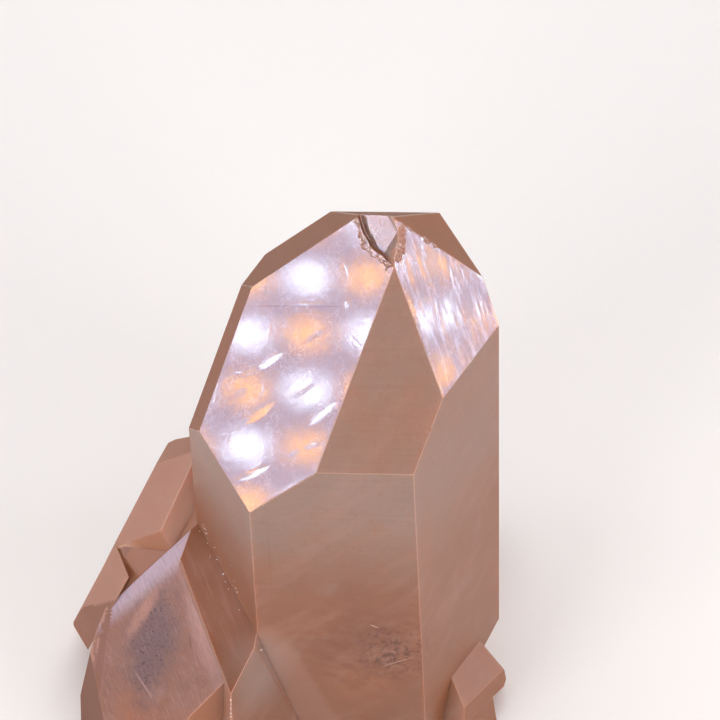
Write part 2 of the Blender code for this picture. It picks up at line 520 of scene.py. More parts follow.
def small_crystal(name, tip, azimuth, lean, width, turn):
    """A six-sided crystal with an even point, its tip at a given place and its axis leaning."""
    towards = Matrix.Rotation(np.radians(azimuth), 3, "Z")
    leaning = np.array(towards @ Matrix.Rotation(np.radians(lean), 3, "Y"))
    around = turn + np.arange(SIDES) * 360.0 / SIDES
    flanks = outward(around, np.full(SIDES, 90.0)) @ leaning.T
    slopes = outward(around, np.full(SIDES, TIP_TILT)) @ leaning.T
    normals = np.vstack([flanks, slopes, [[0.0, 0.0, -1.0]]])
    reach = np.concatenate([
        flanks @ tip + width / 2 - UNEVEN[::-1],
        slopes @ tip - UNEVEN,
        [-(FOOT_LEVEL - BELOW_CUT)],
    ])
    normals, distances, _ = with_edge_flats(normals, reach, EDGE_WIDTH)
    count = len(normals)
    return mesh_object(name, *net_of(normals, distances, np.full(count, COARSE), [even] * count))


def join_all(body, others, operation):
    for other in others:
        modifier = body.modifiers.new(other.name, "BOOLEAN")
        modifier.operation = operation
        modifier.solver = "MANIFOLD"
        modifier.object = other


def lump(name, centre, radius, seed):
    """A closed ball on a grid of longitude and latitude, its radius uneven by smooth noise over the ball."""
    rows, columns = BALL_ROWS, BALL_COLUMNS
    down = np.linspace(0, np.pi, rows + 1)[1:-1]
    around = np.arange(columns) * 2 * np.pi / columns
    down, around = np.meshgrid(down, around, indexing="ij")
    ring = np.stack([np.sin(down) * np.cos(around), np.sin(down) * np.sin(around), np.cos(down)], axis=-1)
    swell = 1 + 0.16 * value_noise(9 * ring[..., 0] + 20, 9 * ring[..., 1] + 9 * ring[..., 2] + 20, seed)
    points = np.vstack([(ring * swell[..., None]).reshape(-1, 3), [[0, 0, 1.0]], [[0, 0, -1.0]]])
    points = points * radius + np.array(centre)
    row, column = np.meshgrid(np.arange(rows - 2), np.arange(columns), indexing="ij")
    here = row * columns + column
    beside = row * columns + (column + 1) % columns
    quads = np.stack([here, here + columns, beside + columns, beside], axis=-1).reshape(-1, 4)
    north, south = (rows - 1) * columns, (rows - 1) * columns + 1
    first, last = np.arange(columns), (rows - 2) * columns + np.arange(columns)
    caps = np.vstack([
        np.stack([np.full(columns, north), first, np.roll(first, -1)], axis=1),
        np.stack([np.full(columns, south), np.roll(last, -1), last], axis=1),
    ])
    triangles = np.vstack([quads[:, [0, 1, 2]], quads[:, [0, 2, 3]], caps])
    return mesh_object(name, points, triangles)


def cut_box(name):
    """A box wider than everything, whose top is the level of the flat cut."""
    sides = (-120.0, 120.0)
    levels = (FOOT_LEVEL - 60.0, FOOT_LEVEL)
    corners = np.array([[x, y, z] for z in levels for y in sides for x in sides])
    triangles = np.array([
        [0, 2, 3], [0, 3, 1], [4, 5, 7], [4, 7, 6], [0, 1, 5], [0, 5, 4],
        [2, 6, 7], [2, 7, 3], [0, 4, 6], [0, 6, 2], [1, 3, 7], [1, 7, 5],
    ])
    return mesh_object(name, corners, triangles)


def applied(body, helpers):
    """The piece with its joins and cuts made final, and the helpers gone."""
    seen = body.evaluated_get(bpy.context.evaluated_depsgraph_get())
    final = bpy.data.meshes.new_from_object(seen)
    body.modifiers.clear()
    body.data = final
    for helper in helpers:
        bpy.data.objects.remove(helper)
    final.polygons.foreach_set("use_smooth", np.ones(len(final.polygons), dtype=bool))
    final.set_sharp_from_angle(angle=np.radians(SHARP_ANGLE))
    return body


# Look of the edges and of the faces that have no name. Its paler colour is partly painted light, which
# brightens the back faces that the lamps leave in shade
PLAIN_FINISH = (0.0, -0.3, 0.0, 0.35)

# The small broken places above this level glint more than the plain edges do: they are less rough, their colour
# is painted much paler as a painted highlight, and white is painted on their creases
FLAKE_FINISH = (1.0, -0.9, 0.0, 0.12)
TIP_LEVEL = 12.0

# Look of each named face: gloss (how strongly white highlights are painted on its fine creases, and how much
# its tiny bump is calmed), depth of colour (below 0 it is paler), warmth, roughness
FINISHES = {
    "tip_front": (0.0, -0.3, 0.0, 0.22),
    "tip_front_right": (1.0, 0.1, 0.2, 0.03),
    "tip_front_left": (1.0, 0.1, 0.2, 0.025),
    "tip_back_right": (0.0, 0.05, 1.0, 0.7),
    "tip_back": (0.0, 0.3, 0.9, 0.7),
    "tip_back_left": (0.0, 0.25, 0.8, 0.7),
    "tip_narrow": (0.0, 0.5, 0.9, 0.7),
    "front": (0.0, 0.2, 0.05, 0.25),
    "front_right": (0.0, 0.25, 0.45, 0.4),
    "front_left": (0.0, 0.25, 0.1, 0.4),
    "chip_rough_facet": (1.0, 0.0, 0.0, 0.06),
    "chip_smooth_facet": (0.3, -0.3, 0.6, 0.3),
    "chip_wall_upper": (0.0, 0.8, 0.9, 0.9),
    "chip_wall_middle": (0.0, 0.8, 0.9, 0.9),
    "chip_wall_lower": (0.0, 0.8, 0.9, 0.9),
    "chip_wall_right": (0.5, -0.6, 0.1, 0.15),
}
SMALL_FINISHES = {
    "back_left_tall": {
        "slope": (0.1, -0.45, 0.6, 0.3),
        "steep_slope": (0.0, -0.7, 0.8, 0.4),
        "side": (0.0, -0.15, 1.0, 0.4),
        "top_left": (0.0, -0.5, 0.8, 0.7),
        "top": (0.0, -0.5, 0.8, 0.7),
        "top_right": (0.0, -0.5, 0.8, 0.7),
        "left": (0.0, 0.5, 0.6, 0.6),
    },
    "back_left_low": {
        "slope": (0.1, 0.3, 0.3, 0.35),
        "top": (0.0, -0.5, 0.4, 0.4),
        "left": (0.0, 0.6, 0.6, 0.6),
    },
    "front_left_broad": {
        "broad": (0.2, -0.1, 0.1, 0.3),
        "top": (0.2, -0.2, 0.2, 0.35),
        "right": (0.0, -0.4, 0.4, 0.4),
        "orange_front": (0.0, 0.2, 1.2, 0.35),
        "dark_side": (0.0, 1.0, 0.9, 0.7),
        "left_upper": (0.0, 0.8, 0.8, 0.7),
        "left_lower": (0.0, 0.8, 0.8, 0.7),
    },
    "front_left_flank": {
        "dark_slope": (0.0, 0.1, 0.0, 0.2),
        "grey_front": (0.0, 0.15, 0.0, 0.25),
        "left": (0.0, 0.3, 0.4, 0.4),
    },
    "hollow_filling": {"olive_slope": (0.0, -0.2, 0.7, 0.5)},
    "right_foot_upper": {"slope": (0.0, -0.45, 0.2, 0.3), "front": (0.0, 0.2, 0.8, 0.35)},
    "right_foot_lower": {"slope": (0.0, -0.2, 0.4, 0.3), "front": (0.0, 0.2, 0.8, 0.35)},
}

FINISH_NAMES = ("gloss", "depth", "warmth", "rough")

# Faces with one further mark each; the hollow ones bound the narrow hollows at the left, where light is painted
# in place of their shade
MARKED_FACES = {
    "sandy": {"front_left_broad_broad"},
    "hollow": {"back_left_tall_side", "back_left_low_top", "front_left_broad_top", "front_left_broad_right"},
    "front": {"front"},
    "streaked": {"tip_front_right"},
}

# How near to a named plane a face of the mesh lies, and the cosine of its turn: on the break and elsewhere
NEAR_PLANE = (0.2, 0.12)
ALIKE = (0.8, 0.97)

SMALL_CRYSTALS = {
    "back_left_tall": BACK_LEFT_TALL,
    "back_left_low": BACK_LEFT_LOW,
    "front_left_broad": FRONT_LEFT_BROAD,
    "front_left_flank": FRONT_LEFT_FLANK,
    "right_foot_upper": RIGHT_FOOT_UPPER,
    "right_foot_lower": RIGHT_FOOT_LOWER,
    "hollow_filling": HOLLOW_FILLING,
}


def named_faces():
    """The look and the plane of every face that has a look of its own, by name."""
    planes = {**LARGE, **CHIP}
    named = {name: (look, planes[name]) for name, look in FINISHES.items()}
    for owner, looks in SMALL_FINISHES.items():
        for face, look in looks.items():
            named[f"{owner}_{face}"] = (look, SMALL_CRYSTALS[owner][face])
    return named


def of_each_face(mesh, property_name):
    """A property with three numbers, such as the centre, of each face of the mesh."""
    values = np.empty(len(mesh.polygons) * 3, np.float32)
    mesh.polygons.foreach_get(property_name, values)
    return values.reshape(-1, 3)


def face_numbers(mesh, planes):
    """For each face of the mesh the number of the named plane that it lies on, or -1."""
    centres = of_each_face(mesh, "center") / MM - STAND
    size = np.array([*planes.values()])
    normals = outward(size[:, 0], size[:, 1])
    broken = np.array([name.startswith("chip") for name in planes])
    near = np.abs(centres @ normals.T - size[:, 2]) < np.where(broken, *NEAR_PLANE)
    alike = of_each_face(mesh, "normal") @ normals.T > np.where(broken, *ALIKE)
    fits = near & alike
    return np.where(fits.any(axis=1), fits.argmax(axis=1), -1)


def add_values(mesh, title, values):
    attribute = mesh.attributes.new(title, "FLOAT", "FACE")
    attribute.data.foreach_set("value", values.astype(np.float32))


def add_finish(piece):
    """Stores the look of each face as attributes that the material reads."""
    mesh = piece.data
    named = named_faces()
    number = face_numbers(mesh, {name: plane for name, (look, plane) in named.items()})
    on_tip = of_each_face(mesh, "center")[:, 2] > (TIP_LEVEL + STAND[2]) * MM
    number = np.where((number < 0) & on_tip, -2, number)
    table = np.array([*(look for look, plane in named.values()), FLAKE_FINISH, PLAIN_FINISH])
    for title, marked in MARKED_FACES.items():
        shares = np.array([*(float(name in marked) for name in named), 0.0, 0.0])
        add_values(mesh, title, shares[number])
    for column, title in enumerate(FINISH_NAMES):
        add_values(mesh, title, table[number, column])


def new_node(tree, kind, values=None, **settings):
    """A node with its settings and with values or links for its inputs by name or number."""
    made = tree.nodes.new(kind)
    for name, setting in settings.items():
        setattr(made, name, setting)
    for name, value in (values or {}).items():
        if isinstance(value, bpy.types.NodeSocket):
            tree.links.new(value, made.inputs[name])
        else:
            made.inputs[name].default_value = value
    return made


def times(tree, a, b, operation="MULTIPLY"):
    return new_node(tree, "ShaderNodeMath", {0: a, 1: b}, operation=operation).outputs[0]


def mixed(tree, share, first, second, blend="MIX"):
    made = new_node(tree, "ShaderNodeMix", data_type="RGBA", blend_type=blend)
    for socket, value in ((made.inputs[0], share), (made.inputs[6], first), (made.inputs[7], second)):
        if isinstance(value, bpy.types.NodeSocket):
            tree.links.new(value, socket)
        else:
            socket.default_value = value
    return made.outputs[2]


def stretched(tree, value, low, high, to_low=0.0, to_high=1.0):
    made = new_node(tree, "ShaderNodeMapRange", {0: value, 1: low, 2: high, 3: to_low, 4: to_high})
    made.interpolation_type = "SMOOTHSTEP"
    return made.outputs[0]


def along_axes(direction, normal):
    """The turn whose axes are a direction, the one beside it, and a face's normal."""
    first = np.array(direction) / np.linalg.norm(direction)
    third = normal - first * (first @ normal)
    third = third / np.linalg.norm(third)
    axes = np.stack([first, np.cross(third, first), third], axis=1)
    return Matrix(axes.tolist()).to_euler()


def placed(tree, place, centre, sizes, turn=(0.0, 0.0, 0.0)):
    """Places measured from a centre along turned axes, in steps of the given sizes (crystal millimetres)."""
    moved = new_node(tree, "ShaderNodeMapping", {"Vector": place, "Rotation": turn}, vector_type="TEXTURE")
    moved.inputs["Location"].default_value = (np.array(centre) + STAND) * MM
    moved.inputs["Scale"].default_value = np.array(sizes) * MM
    return moved.outputs[0]


def cloud(tree, place, centre, sizes, turn=(0.0, 0.0, 0.0)):
    """1 at the centre of an ellipsoid, falling to 0 at its surface."""
    inside = placed(tree, place, centre, sizes, turn)
    return new_node(tree, "ShaderNodeTexGradient", {0: inside}, gradient_type="SPHERICAL").outputs[1]


def band(tree, place, start, end, normal, half_width):
    """1 along the middle of a band on a face from start to end, falling to 0 at its rim."""
    start, end = np.array(start), np.array(end)
    sizes = (np.linalg.norm(end - start) / 2, half_width, BAND_DEPTH)
    return cloud(tree, place, (start + end) / 2, sizes, along_axes(end - start, normal))


def noise_at(tree, place, sizes, turn=(0.0, 0.0, 0.0), detail=3.0, roughness=0.55):
    """Noise whose lumps have the given sizes in millimetres along turned axes."""
    moved = placed(tree, place, (0.0, 0.0, 0.0), sizes, turn)
    return new_node(
        tree, "ShaderNodeTexNoise", {"Vector": moved, "Scale": 1.0, "Detail": detail, "Roughness": roughness}
    ).outputs[0]


# How far a band on a face reaches into the quartz
BAND_DEPTH = 2.0

# Colours of the quartz and of what lies in it, and of painted light: a lavender sheen, white highlights and the
# light in the narrow hollows
PALE = (0.36, 0.238, 0.19, 1.0)
ROSE = (0.31, 0.111, 0.045, 1.0)
DARK = (0.17, 0.06, 0.032, 1.0)
ORANGE = (0.45, 0.152, 0.052, 1.0)
RED_BROWN = (0.24, 0.058, 0.008, 1.0)
LIGHT = (0.72, 0.42, 0.33, 1.0)
MILK = (0.42, 0.29, 0.24, 1.0)
# Painted reflection: the lavender sheen of a lamp panel, painted along a rim of the broad slope
PAINTED_SHEEN_LAVENDER = (0.64, 0.5, 0.6, 1.0)
PURPLE_GREY = (0.16, 0.075, 0.075, 1.0)
PINK = (0.62, 0.34, 0.28, 1.0)
DEEP_RED = (0.1, 0.018, 0.003, 1.0)
RUST = (0.6, 0.27, 0.17, 1.0)
BLACK_SAND = (0.045, 0.02, 0.03, 1.0)
# Painted light: a pale colour put in the narrow hollows at the left in place of their shade
PAINTED_LIGHT_QUARTZ = (0.9, 0.66, 0.53, 1.0)
# Painted highlight: white put on the creases and streaks of the glossy faces in place of glints of light
PAINTED_GLINT_WHITE = (0.95, 0.82, 0.86, 1.0)
DUST_SHADE = (0.75, 0.62, 0.58, 1.0)
DUST_WHITE = (0.95, 0.92, 0.93, 1.0)
DEEP_TINT = (0.66, 0.30, 0.12, 1.0)

ON_AXIS = (0.0, 0.0, 0.0)

# Middles and half sizes of the two narrow hollows at the left, where light is painted into the colour in place
# of their shade
HOLLOWS = (
    ((-22.6, 0.6, -39.5), (6.0, 4.5, 6.5)),
    ((-12.0, -12.5, -43.0), (2.5, 5.0, 6.0)),
)

# Outward directions of the faces that carry bands and streaks
BROAD_NORMAL = outward(*FRONT_LEFT_BROAD["broad"][:2])
FLANK_NORMAL = outward(*FRONT_LEFT_FLANK["dark_slope"][:2])
FRONT_NORMAL = outward(*PRISM["front"][:2])
STREAKED_NORMAL = outward(*TIP["tip_front_right"][:2])
BRIGHT_NORMAL = outward(*TIP["tip_front_left"][:2])


def beside_line(tree, place, point, inward, softness):
    """0 on one side of a plane through a point, rising to 1 inwards over a softness in millimetres."""
    moved = placed(tree, place, point, (softness, softness, softness))
    across = new_node(tree, "ShaderNodeVectorMath", {0: moved, 1: inward}, operation="DOT_PRODUCT")
    return stretched(tree, across.outputs["Value"], -0.5, 0.5)


def inner_clouds(tree, place, colour, on_front):
    """Milky, pink and red-brown clouds that lie in the large crystal, and the tints along its edges."""
    warm = noise_at(tree, place, (9.0, 9.0, 9.0))
    colour = mixed(tree, stretched(tree, warm, 0.42, 0.7, 0.0, 0.3), colour, ORANGE)
    veil = noise_at(tree, place, (3.5, 3.5, 10.0), (0.3, 0.4, 0.0), 3.0)
    colour = mixed(tree, stretched(tree, veil, 0.52, 0.75, 0.0, 0.25), colour, MILK)
    leaning = noise_at(tree, place, (2.2, 5.0, 9.0), (0.2, 0.75, 0.0), 2.0, 0.5)
    colour = mixed(tree, stretched(tree, leaning, 0.45, 0.75, 0.0, 0.16), colour, PINK)
    growth_lines = noise_at(tree, place, (9.0, 9.0, 0.28), ON_AXIS, 2.0, 0.65)
    colour = mixed(tree, stretched(tree, growth_lines, 0.48, 0.72, 0.0, 0.12), colour, RED_BROWN)
    mottle = noise_at(tree, place, (0.7, 0.7, 0.9), ON_AXIS, 3.0, 0.7)
    colour = mixed(tree, stretched(tree, mottle, 0.52, 0.75, 0.0, 0.25), colour, RED_BROWN)
    wisps = noise_at(tree, place, (2.6, 2.6, 1.3), (0.0, 0.45, 0.0), 6.0, 0.68)
    middle = cloud(tree, place, (2.8, -12.0, -33.5), (10.5, 8.0, 13.0))
    core = stretched(tree, cloud(tree, place, (5.6, -12.0, -33.5), (6.5, 6.0, 7.5)), 0.0, 0.8)
    below = cloud(tree, place, (2.2, -12.0, -40.0), (6.0, 5.0, 5.0))
    colour = mixed(tree, stretched(tree, below, 0.0, 0.8, 0.0, 0.6), colour, ORANGE)
    stain = times(tree, stretched(tree, wisps, 0.36, 0.7), stretched(tree, middle, 0.0, 0.75))
    colour = mixed(tree, times(tree, stain, 0.85), colour, RED_BROWN)
    specks = noise_at(tree, place, (0.8, 0.8, 1.0), (0.0, 0.6, 0.0), 3.0, 0.75)
    dark_specks = times(tree, stretched(tree, specks, 0.46, 0.64), core)
    colour = mixed(tree, times(tree, dark_specks, 0.9), colour, DEEP_RED)
    apex = (-5.3, -12.3, -32.4)
    pale = times(tree, beside_line(tree, place, apex, (-0.96, 0.0, -0.28), 1.2), on_front)
    pale = times(tree, pale, beside_line(tree, place, apex, (-0.59, 0.0, -0.81), 4.0))
    colour = mixed(tree, times(tree, pale, 0.22), colour, PINK)
    edge = band(tree, place, (9.3, -11.0, -2.0), (9.2, -11.2, -27.0), FRONT_NORMAL, 2.2)
    colour = mixed(tree, stretched(tree, edge, 0.0, 0.9, 0.0, 0.5), colour, ORANGE)
    line = band(tree, place, (-7.0, -12.5, -2.0), (-7.0, -12.35, -33.0), FRONT_NORMAL, 0.25)
    colour = mixed(tree, stretched(tree, line, 0.0, 0.8, 0.0, 0.15), colour, RED_BROWN)
    level_line = band(tree, place, (-9.4, 5.3, 3.2), (1.7, -0.5, 11.6), BRIGHT_NORMAL, 0.13)
    return mixed(tree, stretched(tree, level_line, 0.0, 0.4, 0.0, 0.85), colour, DARK)


def scratches(tree, place, colour):
    """Two short light scratches on the front."""
    long_one = band(tree, place, (3.3, -12.3, -37.0), (8.1, -12.3, -34.2), FRONT_NORMAL, 0.09)
    short_one = band(tree, place, (2.8, -12.35, -28.2), (4.0, -12.35, -29.1), FRONT_NORMAL, 0.12)
    colour = mixed(tree, stretched(tree, long_one, 0.1, 0.6, 0.0, 0.6), colour, LIGHT)
    return mixed(tree, stretched(tree, short_one, 0.1, 0.6, 0.0, 0.8), colour, LIGHT)


def front_left_patches(tree, place, colour, sandy):
    """The broad slope's painted lavender sheen along its upper left rim, a pink band along its right rim, an
    orange streak and a dark sandy patch, with a grain drawn out downhill.
    """
    downhill = along_axes((4.61, -10.41, -3.0), BROAD_NORMAL)
    grain = noise_at(tree, place, (1.5, 0.22, 0.5), downhill, 3.0, 0.65)
    # Painted reflection: along this rim a lavender sheen is painted, in place of the mirrored edge of the left
    # lamp panel
    rim = band(tree, place, (-33.0, -4.2, -50.0), (-8.7, -0.7, -19.5), BROAD_NORMAL, 2.5)
    right = band(tree, place, (-17.2, -2.6, -31.2), (-12.0, -17.2, -36.8), BROAD_NORMAL, 2.3)
    streak = band(tree, place, (-24.5, -7.6, -43.1), (-18.2, -3.2, -32.6), BROAD_NORMAL, 1.3)
    patch = band(tree, place, (-18.0, -2.6, -31.9), (-22.6, -14.0, -46.0), BROAD_NORMAL, 5.0)
    low = cloud(tree, place, (-21.5, -13.5, -45.5), (5.0, 5.0, 4.0))
    marks = colour
    marks = mixed(tree, stretched(tree, right, 0.0, 0.8, 0.0, 0.75), marks, PINK)
    marks = mixed(tree, stretched(tree, low, 0.0, 0.8, 0.0, 0.75), marks, ORANGE)
    marks = mixed(tree, stretched(tree, rim, 0.0, 0.7, 0.0, 0.85), marks, PAINTED_SHEEN_LAVENDER)
    lumps = noise_at(tree, place, (2.0, 2.0, 2.0), ON_AXIS, 4.0, 0.75)
    inside = stretched(tree, times(tree, patch, lumps, "ADD"), 0.55, 1.2)
    marks = mixed(tree, times(tree, inside, 0.75), marks, PURPLE_GREY)
    marks = mixed(tree, stretched(tree, streak, 0.1, 0.8, 0.0, 0.8), marks, RUST)
    marks = mixed(tree, stretched(tree, grain, 0.45, 0.75, 0.0, 0.45), marks, PURPLE_GREY)
    marks = mixed(tree, stretched(tree, grain, 0.45, 0.3, 0.0, 0.3), marks, PINK)
    sand = stretched(tree, noise_at(tree, place, (0.35, 0.35, 0.35), ON_AXIS, 2.0, 0.7), 0.55, 0.68)
    marks = mixed(tree, times(tree, sand, times(tree, inside, 0.8)), marks, BLACK_SAND)
    thread = band(tree, place, (-22.5, -9.2, -42.3), (-19.8, -13.6, -42.6), BROAD_NORMAL, 0.14)
    marks = mixed(tree, stretched(tree, thread, 0.0, 0.6, 0.0, 0.6), marks, LIGHT)
    tick = band(tree, place, (-16.1, -9.7, -35.3), (-16.0, -11.0, -36.1), BROAD_NORMAL, 0.16)
    marks = mixed(tree, stretched(tree, tick, 0.0, 0.6, 0.0, 0.8), marks, DARK)
    return mixed(tree, sandy, colour, marks)


def flank_streaks(tree, place, colour):
    """Light streaks and a grey-pink zone in the clear dark flank."""
    along = along_axes((4.5, -9.6, -3.1), FLANK_NORMAL)
    streaks = noise_at(tree, place, (7.0, 0.8, 1.2), along, 3.0, 0.6)
    zone = band(tree, place, (-16.6, -0.5, -28.2), (-8.6, -16.5, -33.5), FLANK_NORMAL, 4.0)
    pale_end = cloud(tree, place, (-8.8, -13.8, -35.5), (5.5, 5.5, 8.0))
    zone = stretched(tree, zone, 0.0, 0.5)
    colour = mixed(tree, times(tree, zone, 0.22), colour, PINK)
    light = times(tree, stretched(tree, streaks, 0.5, 0.72), zone)
    colour = mixed(tree, times(tree, light, 0.35), colour, PINK)
    return mixed(tree, stretched(tree, pale_end, 0.0, 0.8, 0.0, 0.55), colour, MILK)


def painted_light_in_hollows(tree, place, colour, beside):
    """Painted light in the two narrow hollows at the left: a pale colour in place of their shade, for the light
    that reaches them through the crystals.
    """
    for centre, sizes in HOLLOWS:
        hollow = times(tree, stretched(tree, cloud(tree, place, centre, sizes), 0.0, 0.6, 0.0, 0.9), beside)
        colour = mixed(tree, hollow, colour, PAINTED_LIGHT_QUARTZ)
    return colour


def quartz_material():
    material = bpy.data.materials.new("milky_rose_quartz")
    material.use_nodes = True
    tree = material.node_tree
    surface = tree.nodes["Principled BSDF"]
    place = new_node(tree, "ShaderNodeTexCoord").outputs["Object"]
    finish = {}
    for title in (*FINISH_NAMES, *MARKED_FACES):
        look = new_node(tree, "ShaderNodeAttribute", attribute_name=title, attribute_type="GEOMETRY")
        finish[title] = look.outputs["Fac"]
    height = new_node(tree, "ShaderNodeSeparateXYZ", {0: place}).outputs["Z"]
    sway = noise_at(tree, place, (7.0, 7.0, 7.0))
    level = times(tree, height, times(tree, sway, 0.008), "ADD")
    colour = mixed(tree, stretched(tree, level, 0.053, 0.036), PALE, ROSE)
    colour = inner_clouds(tree, place, colour, finish["front"])
    colour = mixed(tree, times(tree, finish["warmth"], 0.7), colour, ORANGE)
    colour = mixed(tree, times(tree, finish["depth"], 0.8), colour, DARK)
    colour = mixed(tree, times(tree, finish["depth"], -0.8), colour, LIGHT)
    colour = scratches(tree, place, colour)
    # Painted highlights: white along fine creases, strongest on the glossy faces, in place of light glinting on
    # their relief
    creases = times(tree, noise_at(tree, place, (0.6, 0.6, 0.6), ON_AXIS, 3.0, 0.6), 0.5, "SUBTRACT")
    creases = stretched(tree, times(tree, creases, 0.0, "ABSOLUTE"), 0.05, 0.0)
    here_and_there = stretched(tree, noise_at(tree, place, (2.4, 2.4, 2.4)), 0.42, 0.66, 0.15, 1.0)
    creases = times(tree, times(tree, creases, here_and_there), times(tree, finish["gloss"], 0.4))
    colour = mixed(tree, creases, colour, PAINTED_GLINT_WHITE)
    # Painted highlights: white streaks along the striations of the front right tip face, in place of light
    # glinting on them
    side, over = face_axes(STREAKED_NORMAL)
    uphill = side * np.cos(np.radians(STREAK_TURN)) + over * np.sin(np.radians(STREAK_TURN))
    streaks = noise_at(tree, place, (3.2, 0.34, 0.6), along_axes(uphill, STREAKED_NORMAL), 4.0, 0.7)
    streaks = times(tree, stretched(tree, streaks, 0.5, 0.66), times(tree, finish["streaked"], 0.55))
    colour = mixed(tree, streaks, colour, PAINTED_GLINT_WHITE)
    colour = flank_streaks(tree, place, colour)
    colour = front_left_patches(tree, place, colour, finish["sandy"])
    colour = painted_light_in_hollows(tree, place, colour, finish["hollow"])
    tree.links.new(colour, surface.inputs["Base Color"])
    tree.links.new(finish["rough"], surface.inputs["Roughness"])
    surface.inputs["IOR"].default_value = 1.544
    surface.inputs["Transmission Weight"].default_value = 0.42
    surface.inputs["Subsurface Weight"].default_value = 1.0
    surface.inputs["Subsurface Radius"].default_value = (1.0, 0.6, 0.45)
    surface.inputs["Subsurface Scale"].default_value = 0.002
    calm = stretched(tree, finish["gloss"], 0.0, 1.0, 1.0, 0.3)
    tiny = times(tree, noise_at(tree, place, (0.22, 0.22, 0.22)), calm)
    bump = new_node(tree, "ShaderNodeBump", {"Height": tiny, "Strength": 0.05, "Distance": 0.0001})
    tree.links.new(bump.outputs[0], surface.inputs["Normal"])
    absorb = new_node(tree, "ShaderNodeVolumeAbsorption", {"Color": DEEP_TINT, "Density": 30.0})
    tree.links.new(absorb.outputs["Volume"], tree.nodes["Material Output"].inputs["Volume"])
    return material


# Dust of broken quartz in the seam between the large crystal and the ones at its left
SEAM = (
    (-15.0, -1.4, -25.9),
    (-13.3, -4.4, -26.2),
    (-11.5, -7.6, -27.8),
    (-10.1, -10.0, -29.7),
    (-9.0, -11.9, -30.6),
    (-8.3, -12.6, -33.2),
    (-7.4, -12.6, -37.2),
)
SEAM_BY_THE_FLANK = (
    (-11.5, -17.1, -35.6),
    (-11.5, -17.7, -38.6),
)

# Corners and sides of a grain
EIGHT_SIDED = np.array([[1, 0, 0], [-1, 0, 0], [0, 1, 0], [0, -1, 0], [0, 0, 1], [0, 0, -1]], float)
GRAIN_SIDES = np.array([
    [0, 2, 4], [2, 1, 4], [1, 3, 4], [3, 0, 4],
    [2, 0, 5], [1, 2, 5], [3, 1, 5], [0, 3, 5],
])

# Grains along each: how many, their scatter, and the range of their half lengths
DUST = (
    (SEAM, 52, (0.5, 0.5, 0.8), (0.02, 0.12)),
    (SEAM_BY_THE_FLANK, 9, (0.04, 0.1, 0.5), (0.05, 0.14)),
)
DUST_SEED = 77


def dust_material():
    material = bpy.data.materials.new("white_quartz_dust")
    material.use_nodes = True
    tree = material.node_tree
    surface = tree.nodes["Principled BSDF"]
    place = new_node(tree, "ShaderNodeTexCoord").outputs["Object"]
    shade = stretched(tree, noise_at(tree, place, (0.4, 0.4, 0.4)), 0.35, 0.65)
    tree.links.new(mixed(tree, shade, DUST_SHADE, DUST_WHITE), surface.inputs["Base Color"])
    surface.inputs["Roughness"].default_value = 0.3
    return material


def seam_dust():
    """Small eight-sided grains scattered along the seams. A grain's corners are its centre plus or minus a
    random length along each axis; the centres are points of the seam's path plus a normal scatter."""
    random = np.random.default_rng(DUST_SEED)
    grains = []
    for line, count, scatter, lengths in DUST:
        path = np.array(line)
        share = random.random(count) * (len(path) - 1)
        step = share.astype(int)
        centres = path[step] + (path[step + 1] - path[step]) * (share - step)[:, None]
        centres = centres + random.normal(0.0, scatter, (count, 3))
        sizes = random.uniform(*lengths, (count, 1, 3))
        grains.append(centres[:, None] + EIGHT_SIDED[None] * sizes)
    grains = np.concatenate(grains)
    starts = len(EIGHT_SIDED) * np.arange(len(grains))
    triangles = (GRAIN_SIDES[None] + starts[:, None, None]).reshape(-1, 3)
    piece = mesh_object("seam_dust", grains.reshape(-1, 3), triangles)
    piece.data.materials.append(dust_material())
    return piece


def crystal_cluster():
    """All crystals joined in one piece, with the break, the flakes and the flat cut taken off."""
    spacings = {
        "tip_front_left": FINE,
        "tip_front_right": FINE,
        "back": COARSE,
        "back_left": COARSE,
        "back_right": COARSE,
    }
    marks = {
        "tip_front_left": leaf_relief,
        "tip_front_right": streak_relief,
        "front": prism_relief,
        "front_right": prism_relief,
        "front_left": prism_relief,
        "tip_front": prism_relief,
    }
    large = crystal("crystal_cluster", LARGE, spacings, marks)
    grain = {"front_left_broad": {"broad": sandy_relief}}
    others = [crystal(name, faces, None, grain.get(name)) for name, faces in SMALL_CRYSTALS.items()]
    others += [small_crystal(name, *size) for name, size in BACK_CRYSTALS.items()]
    ribs = {
        "rough_facet": glint_relief,
        "smooth_facet": glint_relief,
        "wall_upper": shell_relief,
        "wall_middle": shell_relief,
        "wall_lower": shell_relief,
    }
    cutters = [
        crystal("tip_break", TIP_BREAK, None, ribs, BREAK_SPACING, BREAK_FLOOR),
        cut_box("under_foot"),
    ]
    cutters += [lump(f"nick_{number}", nick[:3], nick[3], number) for number, nick in enumerate(NICKS)]
    join_all(large, others, "UNION")
    join_all(large, cutters, "DIFFERENCE")
    piece = applied(large, others + cutters)
    piece.data.materials.clear()
    piece.data.materials.append(quartz_material())
    add_finish(piece)
    return piece


# Camera, from the photograph: where it stands, a point that it looks at, its roll in degrees, and its lens
CAMERA_PLACE = (23.21, -332.29, 480.91)
CAMERA_AIM = (2.165, 0.0, 1.639)
CAMERA_ROLL = -2.119
LENS = 291.75
SENSOR = 36.0

# Soft lamps, in metres in the frame: place, a point that the lamp faces, size, and power in watts
SOFT_LAMPS = {
    "top_panel": ((0.0, 0.1, 0.9), (0.0, 0.0, 0.05), (0.7, 0.7), 5.0),
    "front_left_panel": ((-0.55, -0.7, 0.22), (0.0, 0.0, 0.04), (0.5, 0.35), 5.5),
    "front_right_panel": ((0.6, -0.6, 0.22), (0.0, 0.0, 0.04), (0.5, 0.35), 5.0),
}
SOFT_WHITE = (1.0, 0.97, 0.94)

